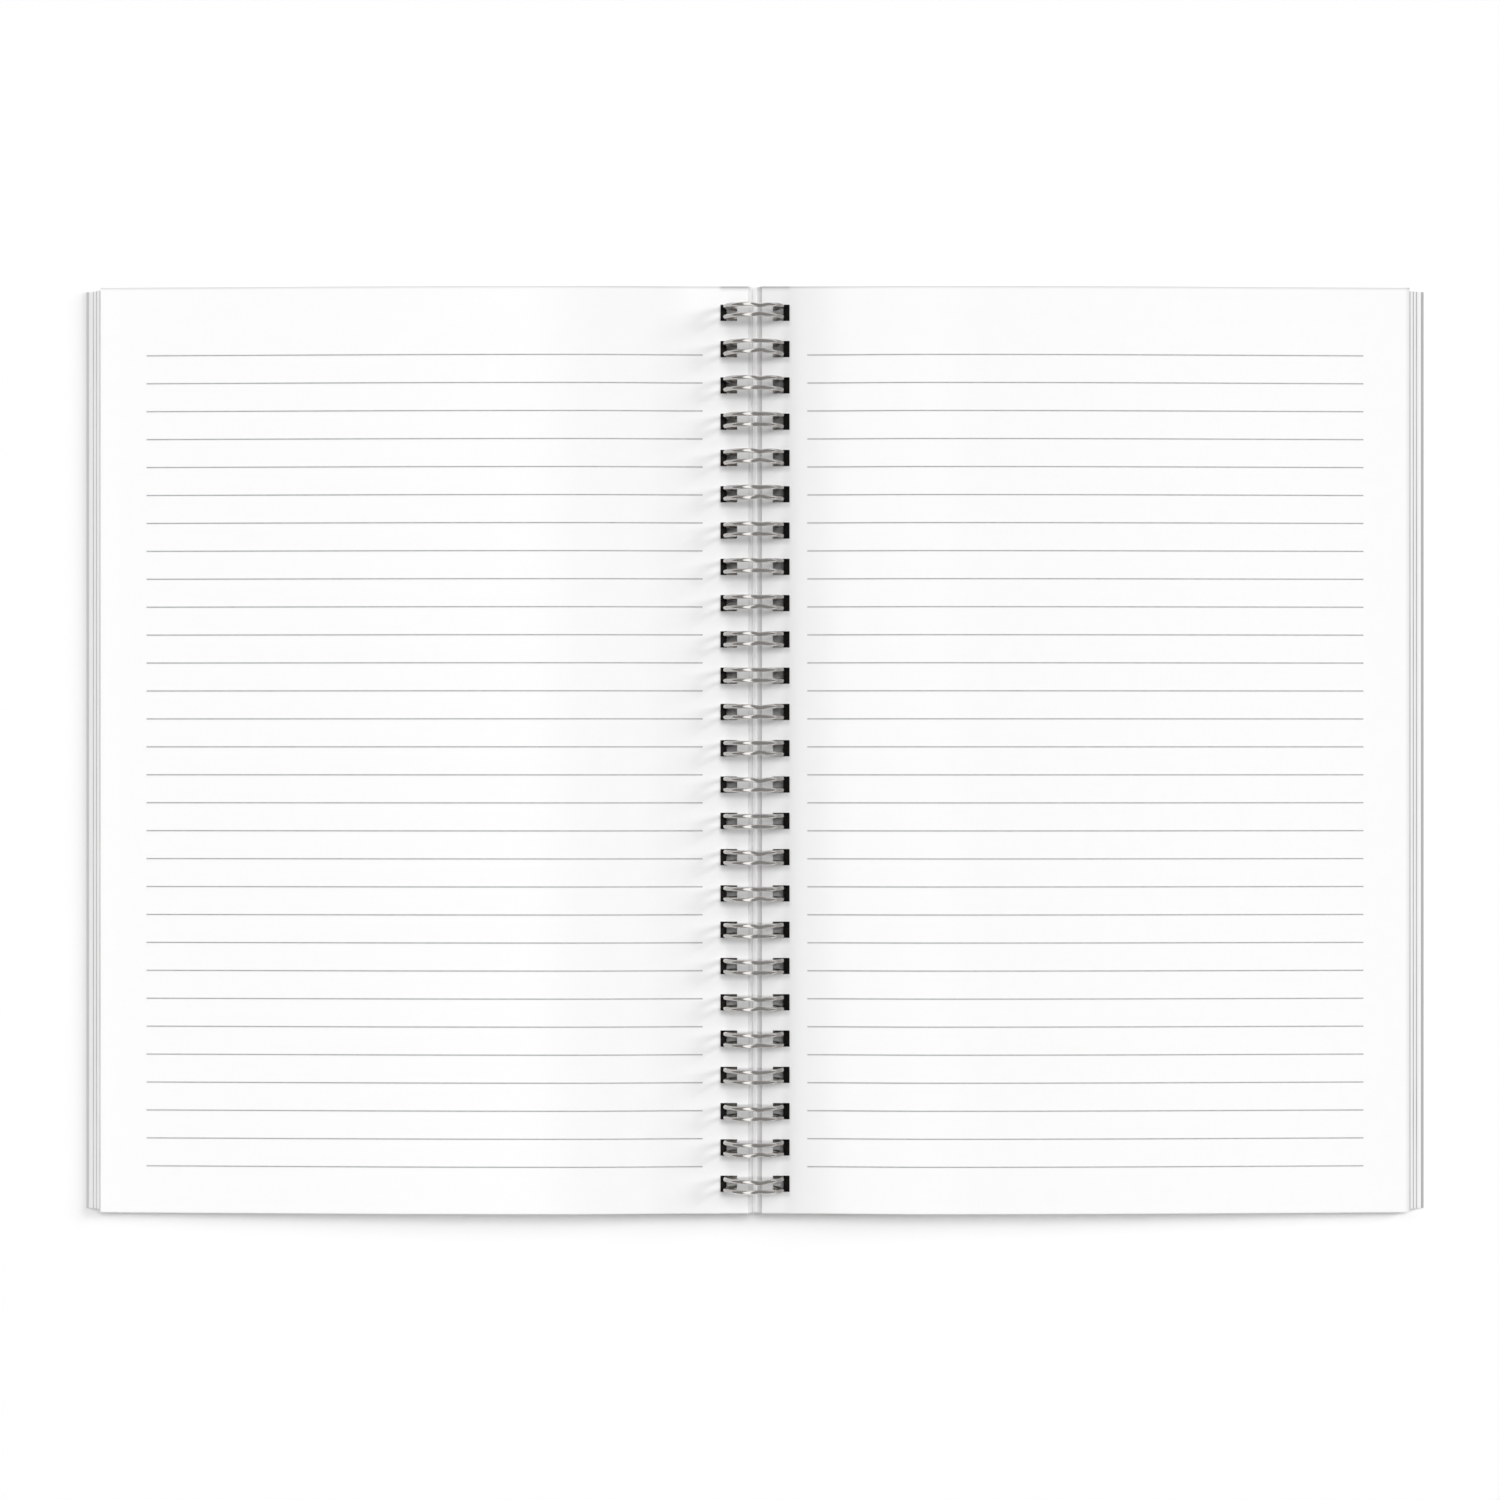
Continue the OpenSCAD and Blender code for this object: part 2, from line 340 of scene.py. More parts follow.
# %% The face of a leaf
def paper_face(name, level, gutter_start, gutter_depth, gutter_power, fore_shade, loop_shadow_depth, slope_shade):
    """White paper of one level, greyed by painted shades that are added up and held between 0 and 1.

    The gutter's painted shade adds near ** gutter_power * gutter_depth, where near rises evenly
    from 0 at gutter_start to 1 at the spine edge. The loops' painted shadow adds its own depth, and
    fore_shade is painted shade at the fore-edge. The slope adds slope_shade between the loops and
    the crown. Below 0 it lightens the slope, so plain adds as much grey everywhere and the level
    makes it up.
    """
    paper = Finish(name)
    spine_way = paper.place().axis("X").size()
    along = paper.place().axis("Y")
    # painted shade of the gutter, darker towards the spine and half as dark by the loops
    near_spine = 1 - spine_way.between(spine_x, gutter_start, smooth=False)
    by_loops = 1 - spine_way.between(5.5 * MM, 9.5 * MM)
    gutter = near_spine ** gutter_power * gutter_depth * (1 - by_loops * 0.5)
    # painted shadow of the loops, from the spine to just past the holes
    loop_shadow_mask = loop_shadow_rows(along) * (1 - spine_way.between(hole_out - 0.6 * MM, hole_out + 0.7 * MM))
    # painted shade along the fore-edge
    fore = spine_way.between(fore_x - 1.2 * MM, fore_x) * fore_shade
    before_crown = 1 - spine_way.between(30 * MM, 56 * MM)
    slope = spine_way.between(13 * MM, 22 * MM) * before_crown * slope_shade
    # painted shade along the head, and fainter along the tail
    head = along.between(page_h / 2 - 0.7 * MM, page_h / 2 - 0.1 * MM) * 0.24
    tail = (along * -1).between(page_h / 2 - 0.5 * MM, page_h / 2) * 0.08
    clouds = paper.grain(4 * MM, detail=3.0)
    tooth = paper.grain(0.35 * MM, detail=2.0)
    spread = (clouds - 0.5) * 0.02 + (tooth - 0.5) * 0.012
    plain = 0.02 - min(slope_shade, 0)
    marks = gutter + loop_shadow_mask * loop_shadow_depth + fore + slope + head + tail
    amount = (marks - spread).math("ADD", plain, clamp=True)
    printed = ruled_back(spine_way, along, paper.value("leaf")) * 0.42
    colour = printed.pick(amount.pick(grey(level / (1 - plain)), grey(0.0)), grey(0.02))
    rough = 0.72 + (tooth - 0.5) * 0.12
    relief = paper.bump(tooth * 0.7 + clouds * 0.3, 0.008 * MM)
    return paper.close(base_color=colour, roughness=rough, normal=relief, specular_ior_level=0.25)


# The two pages differ in level and in their painted shades, because the lamps light them differently.
left_face = paper_face("paper_left_leaf", 0.965, 50 * MM, 0.035, 0.7, 0.0, 0.34, 0.055)
right_face = paper_face("paper_right_leaf", 0.928, 24 * MM, 0.18, 1.4, 0.14, 0.22, -0.035)

# %% [markdown]
# ## The cut edges of a stack
#
# Seen from the side a stack is a pile of thin bright edges with darker gaps between them. Leaves of
# their own would be too many faces for edges this thin, so the gaps are drawn. The mesh carries a
# value that rises from 0 under the lowest leaf to 1 on the top leaf. Multiplied by the count of
# leaves, each whole number is one leaf, and a narrow dark line falls between two of them. Both faces
# of the stack lie at whole numbers, so no line strays onto them. Along the spine the edges face
# each other across a narrow gap, and there a shade that deepens with height evens out their light.

# %% Edges of many leaves
leaf_count = 25


def stack_edges():
    """Pale edges with a dark line between each two leaves, painted shade along the spine and on the
    right fan.
    """
    edges = Finish("paper_stack_edges")
    leaf = edges.value("leaf")
    step = leaf * leaf_count
    gap = 1 - ((step.part() - 0.5).size()).between(0.06, 0.3)
    uneven = edges.grain(3 * MM, detail=3.0, stretch=(1, 1, 0.05))
    fibre = edges.grain(0.2 * MM)
    across = edges.place().axis("X")
    by_spine = 1 - across.size().between(1.7 * MM, 2.4 * MM)
    on_right = across.between(0, 0.01 * MM)
    # painted shade: deeper with height on the right spine wall, a band at mid height on the left one,
    # and the painted loop shadow on both
    own_shade = on_right * leaf * 0.35 + (1 - on_right) * leaf.between(0.4, 0.6) * 0.33
    own_shade = by_spine * (own_shade + loop_shadow_rows(edges.place().axis("Y")) * 0.35)
    # painted shade on the right stack's cut edges past the top leaf, which face the low lamp
    right_fan_shade = across.between(fore_x - 0.2 * MM, fore_x - 0.1 * MM) * 0.22
    lines = gap * (0.45 + uneven * 0.5) * 0.55 * (1 - by_spine * 0.92)
    dark = lines + own_shade + right_fan_shade + (fibre - 0.5) * 0.06
    colour = dark.math("ADD", 0.0, clamp=True).pick(grey(0.96), grey(0.33))
    relief = edges.bump((1 - gap) * (1 - by_spine), 0.03 * MM)
    return edges.close(base_color=colour, roughness=0.8 + (fibre - 0.5) * 0.1, normal=relief)


edge_finish = stack_edges()

# %% [markdown]
# ## The walls of the punched holes
#
# The holes look black where they are farthest from the spine, and a brownish grey nearer to it.
# A hole through a whole stack is narrow and deep, so what reaches the eye from it is light that has
# bounced between its walls. One dark colour for all four walls would turn the whole hole black. So
# only the outer wall is painted almost black, as painted shade for the dark depth of the hole. The
# others are pale and throw light down onto the table, with faint lines where one leaf meets the next.

# %% Inside of a hole
extra_lean = 0.25 * MM      # the outer wall of a hole leans in this much more than the others


def hole_walls():
    """Painted shade, nearly black, on the outer side and pale on the others, with the leaf lines just
    visible.
    """
    walls = Finish("paper_hole_walls")
    leaf = walls.value("leaf") * leaf_count
    gap = 1 - ((leaf.part() - 0.5).size()).between(0.1, 0.4)
    foot_of_wall = hole_out - lean - extra_lean
    outer = walls.place().axis("X").size().between(foot_of_wall - 0.25 * MM, foot_of_wall)
    pale = gap.pick(grey(0.96, 0.03), grey(0.86, 0.06))
    # painted shade: the outer wall is drawn nearly black for the dark depth of the hole
    dark = gap.pick(grey(0.03, 0.06), grey(0.01, 0.06))
    return walls.close(base_color=outer.pick(pale, dark), roughness=0.9, specular_ior_level=0.1)


wall_finish = hole_walls()

# %% [markdown]
# ## The outline of a stack
#
# Seen from the end, a stack is level where it is punched, rises to a crown and falls slowly to its
# fore-edge. There the leaves fan out, because the lower ones take the shorter way, and they do so
# in a few bundles. Paper could be bent over a row of hand-placed points, but two waves do it with
# three named heights. A cosine gives both slopes their soft start, and a power shapes the long one.

# %% Heights along the outline
def cover_under(x):
    """Underside of a cover: level at the punched strip, then half a cosine wave down to the table."""
    way = np.clip((x - strip_x) / (touch_x - strip_x), 0, 1)
    return spine_lift * (1 + np.cos(np.pi * way)) / 2


def leaf_top(x):
    """Top leaf: half a cosine wave up to the crown, then a quarter wave to a power down again."""
    rise = np.clip((x - strip_x) / (crown_x - strip_x), 0, 1)
    fall = np.clip((x - crown_x) / (fore_x - crown_x), 0, 1)
    inner = spine_top + (crown_z - spine_top) * (1 - np.cos(np.pi * rise)) / 2
    quarter = np.clip(np.cos(np.pi / 2 * fall), 0, 1)
    outer = fore_top + (crown_z - fore_top) * quarter ** arch_power
    return np.where(x <= crown_x, inner, outer)


heights = [leaf_top(np.array([x]))[0] for x in (spine_x, crown_x, fore_x)]
print("top leaf at spine, crown and fore-edge in mm:", [round(float(z) / MM, 2) for z in heights])

# %% Columns and rows of the grid
punch_x = np.array([spine_x, hole_in, hole_out])
lean_back = np.array([lean, lean, lean + extra_lean])
rise_columns, fall_columns = 18, 34
rise_x = np.linspace(strip_x, crown_x, rise_columns)
fall_x = np.linspace(crown_x, fore_x, fall_columns)[1:]
slope_x = np.concatenate([rise_x, fall_x])
main_x = np.concatenate([punch_x, slope_x])
main_low_x = np.concatenate([punch_x - lean_back, slope_x])
rows = np.sort(np.concatenate([[-page_h / 2, page_h / 2], loop_ys - hole_h / 2, loop_ys + hole_h / 2]))
open_rows = np.arange(len(rows) - 1) % 2 == 1
print("grid:", len(main_x), "columns by", len(rows), "rows")

# %% [markdown]
# ## A slab with a row of holes
#
# A punched sheet and a punched stack are the same kind of thing: a top and an underside on one
# grid, with some cells left out. Every edge between a kept cell and a missing one gets a wall, which
# closes the slab all round and lines each hole. Padding the table of kept cells with one ring of
# missing ones makes the outer edge and the holes follow the same rule. Cutting the holes with a
# Boolean would be shorter to write, but it leaves long thin faces across the arch.

# %% Build the slab
FACE, EDGE, WALL, FAN = 0, 1, 2, 3      # places in a piece's list of finishes


def punched_slab(name, side, top, low, leaf, materials, column_kind, short):
    """A closed slab with a row of holes, on side +1 or -1.

    top and low are two lines of (x, z) points, and each point is repeated at every row. leaf is the
    height value of each top point, column_kind the finish of each top column, and short says how far
    from head and tail each point stays.
    """
    count, wide = len(rows), len(top)
    reach = page_h / 2 - short

    def sheet(line):
        """The line repeated at every row, as points."""
        x = np.broadcast_to(side * line[:, 0], (count, wide))
        y = np.clip(rows[:, None], -reach, reach)
        z = np.broadcast_to(line[:, 1], (count, wide))
        return np.stack([x, y, z], axis=-1).reshape(-1, 3)

    points = np.concatenate([sheet(top), sheet(low)])
    upper = np.arange(count * wide).reshape(count, wide)
    under = upper + count * wide

    open_columns = np.zeros(wide - 1, bool)
    open_columns[1] = True      # between hole_in and hole_out
    kept = ~(open_rows[:, None] & open_columns[None, :])
    cells = np.stack([upper[:-1, :-1], upper[:-1, 1:], upper[1:, 1:], upper[1:, :-1]], axis=-1)
    face_sets = [cells[kept], cells[kept][:, ::-1] + count * wide]
    kinds = [np.broadcast_to(column_kind, kept.shape)[kept], np.full(kept.sum(), FACE)]

    kept_padded = np.pad(kept, 1)
    inside = np.pad(np.ones_like(kept), 1)

    def walls(here, there, there_inside, a, b):
        """Wall quads from the top edge a-b down, where this cell is kept and the next one isn't."""
        edge = here & ~there
        quads = np.stack([upper[a], upper[b], under[b], under[a]], axis=-1)[edge]
        face_sets.append(quads)
        kinds.append(np.where(there_inside[edge], WALL, EDGE))

    right, left = (slice(1, -1), slice(1, None)), (slice(1, -1), slice(None, -1))
    above, below = (slice(1, None), slice(1, -1)), (slice(None, -1), slice(1, -1))
    near, far = (slice(None, -1), slice(None)), (slice(1, None), slice(None))
    first, last = (slice(None), slice(None, -1)), (slice(None), slice(1, None))
    walls(kept_padded[right], kept_padded[left], inside[left], near, far)
    walls(kept_padded[left], kept_padded[right], inside[right], far, near)
    walls(kept_padded[above], kept_padded[below], inside[below], last, first)
    walls(kept_padded[below], kept_padded[above], inside[above], first, last)

    faces = np.concatenate(face_sets)
    if side < 0:
        faces = faces[:, ::-1]
    leaf_values = np.concatenate([np.tile(leaf, count), np.zeros(count * wide)])
    return make_piece(name, points, faces, materials, np.concatenate(kinds), {"leaf": leaf_values})


# %% [markdown]
# ## The two stacks of leaves
#
# The top line runs over the arch and then steps down through the fanned bundles. The lower line has
# the same count of points, and it leans in towards the spine under the holes, because each leaf
# hangs where the round wire passes through it. Leaves drawn one by one would each need a hole and a
# place of their own, and a shut stack would show no more of them than its edges do. So a stack is
# one slab, and its leaves are told apart at the fan and along the cut edges.

# %% Lines of a stack
bundle = np.arange(bundles)
bundle_x = low_leaf_x - fan_reach * (bundle / (bundles - 1)) ** arch_power
bundle_z = cover_t + stack_t * np.arange(bundles + 1) / bundles
fan_x = np.repeat(bundle_x[::-1], 2)[1:-1]
fan_z = np.repeat(bundle_z[1:-1][::-1], 2)
fan_leaf = np.repeat(np.arange(1, bundles)[::-1], 2) / bundles

stack_top = np.stack([np.append(main_x, fan_x), np.append(leaf_top(main_x), fan_z)], axis=1)
stack_leaf = np.append(np.ones(len(main_x)), fan_leaf)
low_tail = np.linspace(fore_x, low_leaf_x, len(fan_x) + 1)
stack_low_x = np.concatenate([main_low_x[:-1], low_tail])
low_rise = np.where(stack_low_x <= strip_x, spine_lift, cover_under(stack_low_x))
leaf_slip = 0.01 * MM      # keeps the lowest leaf a hair off its cover
stack_under = np.stack([stack_low_x, low_rise + cover_t + leaf_slip], axis=1)
column_kind = np.full(len(stack_top) - 1, FACE)
column_kind[len(main_x) - 1 :: 2] = EDGE
column_kind[len(main_x) :: 2] = FAN
stack_short = np.append(np.zeros(len(main_x)), np.full(len(fan_x), fan_short))
print("bundles step out to", [round(float(x) / MM, 2) for x in bundle_x[::-1]], "mm")

# %% [markdown]
# ## The fanned margins
#
# Past the top leaf the lower bundles show as narrow steps. Each step is lit on its flat and dark at
# its foot, and the steps are far lower than they are wide. The mesh has the steps, but at this size
# their own shade is too faint to see, so a thin grey line is drawn along the foot of each one.

# %% Paper of the fanned margins
def fanned_margins():
    """White paper with a line of painted shade a fifth of a millimetre wide along the foot of each
    step.
    """
    fan = Finish("paper_fanned_margins")
    way_out = fan.place().axis("X").size()
    past_foot = 0.14 * MM      # from the foot of a step to the middle of its line
    off_lines = [(way_out - float(x) - past_foot).size() for x in bundle_x[2:]]
    lines = sum(1 - off_line.between(0.08 * MM, 0.22 * MM) for off_line in off_lines)
    uneven = fan.grain(4 * MM, detail=3.0, stretch=(1, 5, 1))
    head = fan.place().axis("Y").between(page_h / 2 - 0.6 * MM, page_h / 2 - 0.1 * MM)
    lit_side = fan.place().axis("X").between(0, 0.01 * MM)
    upper = 1 - way_out.between(float(bundle_x[1]) - 0.1 * MM, float(bundle_x[1]) + 0.1 * MM)
    # painted shade: a line at the foot of each step, a band at the head end, and the right fan, which
    # faces the low lamp
    dark = lines * (0.35 + uneven * 0.5) + head * 0.35 + lit_side * (0.14 + upper * 0.08)
    colour = dark.math("ADD", 0.0, clamp=True).pick(grey(0.96), grey(0.30))
    return fan.close(base_color=colour, roughness=0.75 + (uneven - 0.5) * 0.1, specular_ior_level=0.25)


fan_finish = fanned_margins()

# %% Make both stacks
stack_rows = (("left", -1, left_face), ("right", 1, right_face))
for hand, side, face in stack_rows:
    finishes = [face, edge_finish, wall_finish, fan_finish]
    stack = punched_slab(f"{hand}_leaves", side, stack_top, stack_under, stack_leaf, finishes,
                         column_kind, stack_short)
    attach(stack, f"{hand}_pages")
    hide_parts(f"{hand}_pages")

# %% [markdown]
# ## The card covers
#
# Each cover is one plain sheet of pale card, a little wider than the leaves. Card is thicker than
# paper, its face has a soft mottle of longer fibres, and its cut edge is rough and slightly darker.
# The rim past the lowest leaf is greyed with painted shade, because little light gets in under the
# leaf's edge, and more deeply on the right, which the lamps light more. Next to the wire the card is
# painted almost white between the loops as painted light, and left greyer under the painted shadow
# of each loop. Real covers leave a narrow slit along the middle line. Here both are drawn up to that
# line, because an open slit would render much darker than it looks on a bright table.

# %% Card
def card(name, level, fibre_length):
    """Pale card with fibres along the spine, a rim of painted shade and painted light beside the wire.
    """
    sheet = Finish(name)
    fibres = sheet.grain(0.5 * MM, detail=3.0, stretch=(1, fibre_length, 1))
    clouds = sheet.grain(7 * MM, detail=3.0)
    tone = ((fibres - 0.5) * 0.5 + (clouds - 0.5) * 0.5) + 0.5
    way_out = sheet.place().axis("X").size()
    lit_side = sheet.place().axis("X").between(0, 0.01 * MM)
    past_leaves = way_out.between(low_leaf_x, low_leaf_x + 0.1 * MM) * sheet.value("leaf")
    # painted shade on the rim past the leaves, deeper on the right, which the lamps light more
    rim = past_leaves * (0.27 + lit_side * 0.26)
    # painted light: beside the wire the card is drawn almost white, except under the painted loop
    # shadow
    by_wire = 1 - way_out.between(2 * MM, 4 * MM)
    lit_tone = by_wire * (0.8 - loop_shadow_rows(sheet.place().axis("Y")) * 0.8)
    pale = tone.math("ADD", 0.0, clamp=True).pick(grey(level * 0.95, 0.006), grey(level * 1.04, 0.004))
    relief = sheet.bump(fibres, 0.012 * MM)
    colour = rim.pick(lit_tone.pick(pale, grey(0.98)), grey(0.05))
    return sheet.close(base_color=colour, roughness=0.66 + (fibres - 0.5) * 0.15, normal=relief)


card_face = card("card_face", 0.87, 6)
card_edge = card("card_cut_edge", 0.72, 1)

# %% Make both covers
rim_x = [fore_x + 0.05 * MM, cover_x]
cover_line_x = np.append(main_x, rim_x)
cover_low_x = np.append(main_low_x, rim_x)
punched = len(punch_x)
cover_line_x[:punched] = main_low_x[:punched]     # its holes lie below those of the lowest leaf
cover_line_x[0] = cover_low_x[0] = 0.01 * MM      # a hair from the middle line
cover_low = np.stack([cover_low_x, cover_under(cover_low_x)], axis=1)
cover_top = np.stack([cover_line_x, cover_under(cover_line_x) + cover_t], axis=1)
cover_short = np.where(cover_line_x > fore_x, fan_short, 0)
for node, side in (("front_cover", -1), ("back_cover", 1)):
    finishes = [card_face, card_edge, wall_finish]
    plain_columns = np.full(len(cover_top) - 1, FACE)
    one_leaf = np.ones(len(cover_top))
    cover = punched_slab(f"{node}_card", side, cover_top, cover_low, one_leaf, finishes,
                         plain_columns, cover_short)
    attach(cover, node)
    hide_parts(node)

# %% [markdown]
# ## Printed lines
#
# The ruled lines could be drawn in the paper's finish, as they are on the undersides. On the top
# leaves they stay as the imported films, which lie there at their real width and keep crisp edges.
# Offset ink on uncoated paper is a matt grey that soaks in unevenly, so its tone wanders a little.

# %% Ink
def ruling_ink():
    """Matt grey ink that lies thicker and thinner along each line."""
    ink = Finish("ruling_ink_grey")
    soak = ink.grain(1.5 * MM, detail=3.0)
    colour = soak.pick(grey(0.33), grey(0.52))
    return ink.close(base_color=colour, roughness=0.85 + (soak - 0.5) * 0.1, specular_ior_level=0.2)


ink_finish = ruling_ink()
for hand, _side, _face in stack_rows:
    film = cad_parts[f"{hand}_ruling"]
    film.data.materials.clear()
    film.data.materials.append(ink_finish)
    print(film.name, "faces:", len(film.data.polygons))

# %% [markdown]
# ## Bright drawn wire
#
# The wire is steel with a thin bright coat. It was drawn through a die, so it has faint streaks
# along its length, and it was bent and crimped, so some stretches are duller. Bare metal alone
# mirrors the dark sides of the room too hard, and the coat scatters a little of the light, so the
# finish is a mix that is mostly metal. Inside the holes little light gets to the wire, and there it
# is drawn darker. The streaks follow the wire: the mesh carries the distance along it and round it
# as a UV map.

# %% Wire finish
def bright_wire():
    """Polished metal with long faint streaks and slow changes of polish."""
    wire = Finish("bright_binding_wire")
    unrolled = wire.add("ShaderNodeUVMap", {"uv_map": "unrolled"})
    streak = wire.grain(0.12, detail=2.0, stretch=(20, 1, 1), place=unrolled)
    dull = wire.grain(3 * MM, detail=2.0)
    across = wire.place().axis("X")
    right_hole = across.between(4 * MM, 5.4 * MM) * 0.64
    in_holes = right_hole + (across * -1).between(4.3 * MM, 5.5 * MM) * 0.3
    lit_tone = (streak * 0.6 + dull * 0.4).pick(grey(0.60, 0.03), grey(0.84, 0.03))
    colour = in_holes.pick(lit_tone, grey(0.05, 0.1))
    rough = 0.08 + streak * 0.06 + dull * 0.05
    relief = wire.bump(streak, 0.004 * MM)
    return wire.close(base_color=colour, metallic=0.88, roughness=rough, normal=relief)


wire_finish = bright_wire()

# %% [markdown]
# ## The way of the wire
#
# A twin-loop binding is one wire from end to end. It runs forward round a loop, turns back on
# itself in a hairpin, runs back beside its own first strand, and crosses to the next loop along a
# short bar. A curve object with a bevel could follow it, but it twists where the wire turns back on
# itself. Every point of that way lies on the round of the loops or on a flat that touches it. So
# a point needs four numbers: the angle round the loops, the place along the spine, how far forward
# it lies on the flat, and the heading there. The round itself then gives the wire's upward side.

# %% Stations of one loop
strand_rings = 72
tip_rings = 11
foot_rings = 6
waist_angle = math.radians(168)      # the strands draw together a little to the right of the top
waist_width = math.radians(12)
waist_depth = 0.17 * MM
sway_reach = 0.07 * MM


def strand(y, side, back, sway, waist):
    """One strand round the loop, as rows of angle, place, forward and heading.

    It draws in towards its twin by a bell curve round the waist, and sways by a squared sine.
    """
    angle = np.linspace(foot_angle, tip_angle, strand_rings)
    pinch = waist * np.exp(-((angle - waist_angle) / waist_width) ** 2)
    place = y + side * (half_gap - pinch) + sway * np.sin(angle) ** 2
    heading = np.full(strand_rings, np.pi if back else 0.0)
    rings = np.stack([angle, place, np.zeros(strand_rings), heading], axis=1)
    return rings[::-1] if back else rings


def bend(turn, angle, y, forward, heading):
    """Stations of a bend, where y, forward and heading are worked out from the angle turned."""
    flat = np.full(len(turn), angle)
    return np.stack([flat, y, forward, heading], axis=1)


def loop_way(index):
    """All stations of one loop, from the end of the last bar to the start of the next.

    Sines of the loop's number stand in for chance, so no two loops are quite alike.
    """
    y = loop_ys[index]
    sway = sway_reach * math.sin(2.4 * index)
    waists = waist_depth * (1 + np.sin([1.7 * index, 2.9 * index + 1]))
    half = np.linspace(0, np.pi, tip_rings + 2)[1:-1]
    quarter = np.linspace(0, np.pi / 2, foot_rings + 1)
    first_foot, last_foot = y - half_gap, y + half_gap
    leave, arrive = quarter[1:], quarter[:-1]
    from_bar = bend(arrive, foot_angle, first_foot - bend_r * (1 - np.sin(arrive)),
                    -bend_r * np.cos(arrive), np.pi / 2 - arrive)
    tip = bend(half, tip_angle, y - half_gap * np.cos(half), half_gap * np.sin(half), half)
    to_bar = bend(leave, foot_angle, last_foot + bend_r * (1 - np.cos(leave)),
                  -bend_r * np.sin(leave), np.pi - leave)
    way = [strand(y, -1, False, sway, waists[0]), tip, strand(y, 1, True, sway, waists[1])]
    if index > 0:
        way.insert(0, from_bar)
    if index < loops - 1:
        way.append(to_bar)
    return np.concatenate(way)


print("stations of a loop with both bars:", len(loop_way(1)))

# %% Carry a round section along the way
wire_sides = 12
wire_rest = -0.3 * MM      # the loose wire lies this far to the left in its holes


def sweep_wire(stations):
    """Points of a round tube: each station's middle plus a circle across its heading."""
    angle, y, forward, heading = stations.T
    zero = np.zeros_like(angle)
    outward = np.stack([np.sin(angle), zero, -np.cos(angle)], axis=1)
    ahead = np.stack([np.cos(angle), zero, np.sin(angle)], axis=1)
    along = np.array([0.0, 1.0, 0.0])
    middle = ring_r * outward + forward[:, None] * ahead + y[:, None] * along
    middle += np.array([wire_rest, 0, ring_z])
    across = -np.sin(heading)[:, None] * ahead + np.cos(heading)[:, None] * along
    turn = 2 * np.pi * np.arange(wire_sides) / wire_sides
    circle = (np.cos(turn)[None, :, None] * outward[:, None, :]
              + np.sin(turn)[None, :, None] * across[:, None, :])
    return middle, (middle[:, None, :] + wire_r * circle).reshape(-1, 3)


stations = np.concatenate([loop_way(index) for index in range(loops)])
middle, wire_points = sweep_wire(stations)
steps = np.linalg.norm(np.diff(middle, axis=0), axis=1)
print("wire length in mm:", round(steps.sum() / MM), "rings:", len(stations))

# %% Faces, ends and the unrolled map
ring_count = len(stations)
ring_start = np.arange(ring_count - 1)[:, None] * wire_sides
next_start = ring_start + wire_sides
this_side = np.arange(wire_sides)[None, :]
next_side = (this_side + 1) % wire_sides
quad_corners = [ring_start + this_side, ring_start + next_side,
                next_start + next_side, next_start + this_side]
tube = np.stack(quad_corners, axis=-1).reshape(-1, 4)
first_end = list(range(wire_sides))[::-1]
last_end = [(ring_count - 1) * wire_sides + k for k in range(wire_sides)]
tube_faces = tube.tolist() + [first_end, last_end]
binding = make_piece("binding_wire", wire_points, tube_faces, [wire_finish], crisp=50)

length_at = np.concatenate([[0], np.cumsum(steps)])
unrolled = binding.data.uv_layers.new(name="unrolled")
corner_point = np.empty(len(binding.data.loops), np.int32)
binding.data.loops.foreach_get("vertex_index", corner_point)
length_uv = length_at[corner_point // wire_sides]
round_uv = (corner_point % wire_sides) / wire_sides
unrolled.data.foreach_set("uv", np.stack([length_uv, round_uv], axis=1).astype(np.float32).ravel())
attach(binding, "wire")
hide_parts("wire_binding")

# %% [markdown]
# ## Table and light
#
# The notebook lies on a plain white table. A large soft lamp stands to the upper right, so a short
# shadow falls below the pages, and a weaker one low on the right draws out the shadow on the left.
# The rest is a dim sky with one broad bright band along the spine, to the left of straight up. The
# band gives every loop its white highlight just left of the middle, and the dim sky on both sides
# of it gives the grey stretches next to the highlight. Area lamps over the table could do the same,
# but a sky and two far lamps light the near and the far loops alike. Past the table the camera sees
# plain white.

# %% The table
def table_top():
    """Plain matt white."""
    top = Finish("table_white")
    mottle = top.grain(40 * MM)
    colour = mottle.pick(grey(0.955), grey(0.965))
    return top.close(base_color=colour, roughness=0.9, specular_ior_level=0.0)


table_half = 6.0           # metres, far past the notebook on every side
table_z = -0.02 * MM       # a hair below the covers
corners = np.array([(-1, -1, 0), (1, -1, 0), (1, 1, 0), (-1, 1, 0)]) * table_half
corners[:, 2] = table_z
table = make_piece("table", corners, [[0, 1, 2, 3]], [table_top()])

# %% The sky
sky = bpy.data.worlds.new("studio_sky")
bpy.context.scene.world = sky
sky.use_nodes = True
sky.node_tree.nodes.clear()


class Sky(Finish):
    """The world's node tree, built with the same two methods."""

    def __init__(self, world):
        self.tree = world.node_tree


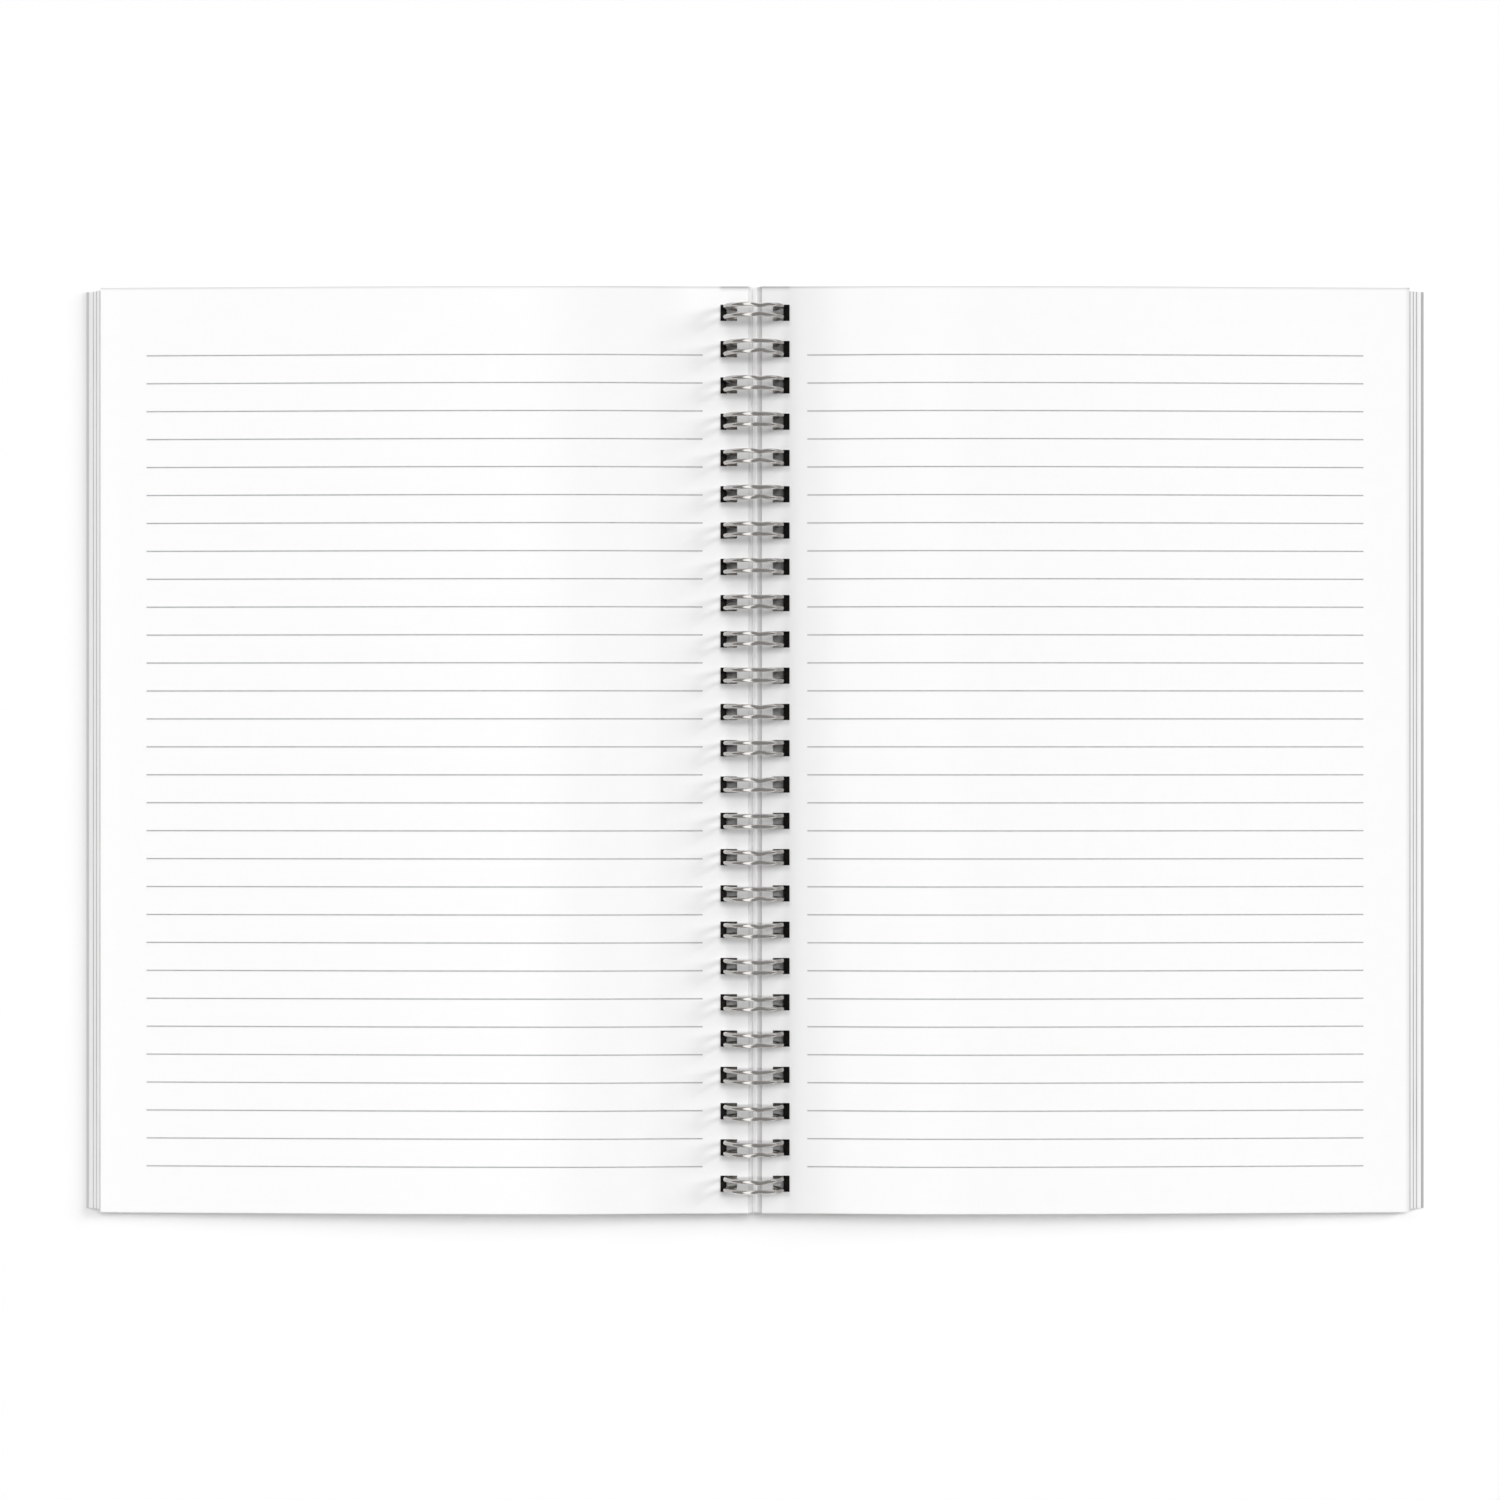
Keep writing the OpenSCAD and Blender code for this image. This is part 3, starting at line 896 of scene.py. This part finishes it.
shade = Sky(sky)
way_up = shade.add("ShaderNodeTexCoord", None, None, out="Generated")
slant = way_up.axis("X") / way_up.axis("Z").math("MAXIMUM", 0.05)      # to the right, per step up
strip = slant.between(-0.98, -0.78) * (1 - slant.between(-0.26, -0.12))
seen = shade.add("ShaderNodeLightPath", None, None, out="Is Camera Ray")
sky_strength = 0.5
sky_colour = seen.pick(strip.pick(grey(0.34, 0.012), grey(2.65)), grey(1 / sky_strength))
background = shade.add("ShaderNodeBackground", None, {"Color": sky_colour, "Strength": sky_strength})
shade.add("ShaderNodeOutputWorld", None, {"Surface": background})
print("sky nodes:", len(sky.node_tree.nodes))


# %% Two far lamps
def soft_lamp(name, towards, strength, spread):
    """A far lamp in the direction towards, as broad as spread in degrees.

    The table gets strength times what a white sky gives it, whatever the slant of the lamp.
    """
    data = bpy.data.lights.new(name, "SUN")
    way = Vector(towards).normalized()
    data.energy = strength * math.pi / way.z
    data.angle = math.radians(spread)
    lamp = bpy.data.objects.new(name, data)
    bpy.context.scene.collection.objects.link(lamp)
    lamp.rotation_mode = "QUATERNION"
    lamp.rotation_quaternion = way.to_track_quat("Z", "Y")
    lamp.visible_glossy = False
    print(name, "energy:", round(data.energy, 2))


soft_lamp("upper_right_lamp", (0.2, 0.3, 1.0), 0.345, 28)
soft_lamp("low_right_lamp", (1.9, 0.6, 1.0), 0.255, 24)

# %% [markdown]
# ## The camera
#
# The camera looks straight down, as in the photograph. The frame is as wide as the photograph at the
# height of the pages, so the lens follows from the camera's height above them. A camera far away
# would flatten the bulge of the page edges, and one too near would shift the loops in their holes.

# %% Place the camera
photo_px = 1500
spine_px = 755             # the middle line lies this many pixels from the left
frame_w = 350.1 * MM       # width of the picture at the level of the pages
camera_h = 1000 * MM
page_level = 5 * MM
camera_data = bpy.data.cameras.new("camera")
camera_data.sensor_width = 36      # mm, as the lens is
camera_data.lens = camera_data.sensor_width * (camera_h - page_level) / frame_w
camera = bpy.data.objects.new("camera", camera_data)
bpy.context.scene.collection.objects.link(camera)
camera.location = ((photo_px / 2 - spine_px) / photo_px * frame_w, 0, camera_h)
bpy.context.scene.camera = camera
bpy.context.scene.view_settings.view_transform = "Standard"
print("lens in mm:", round(camera_data.lens, 1))
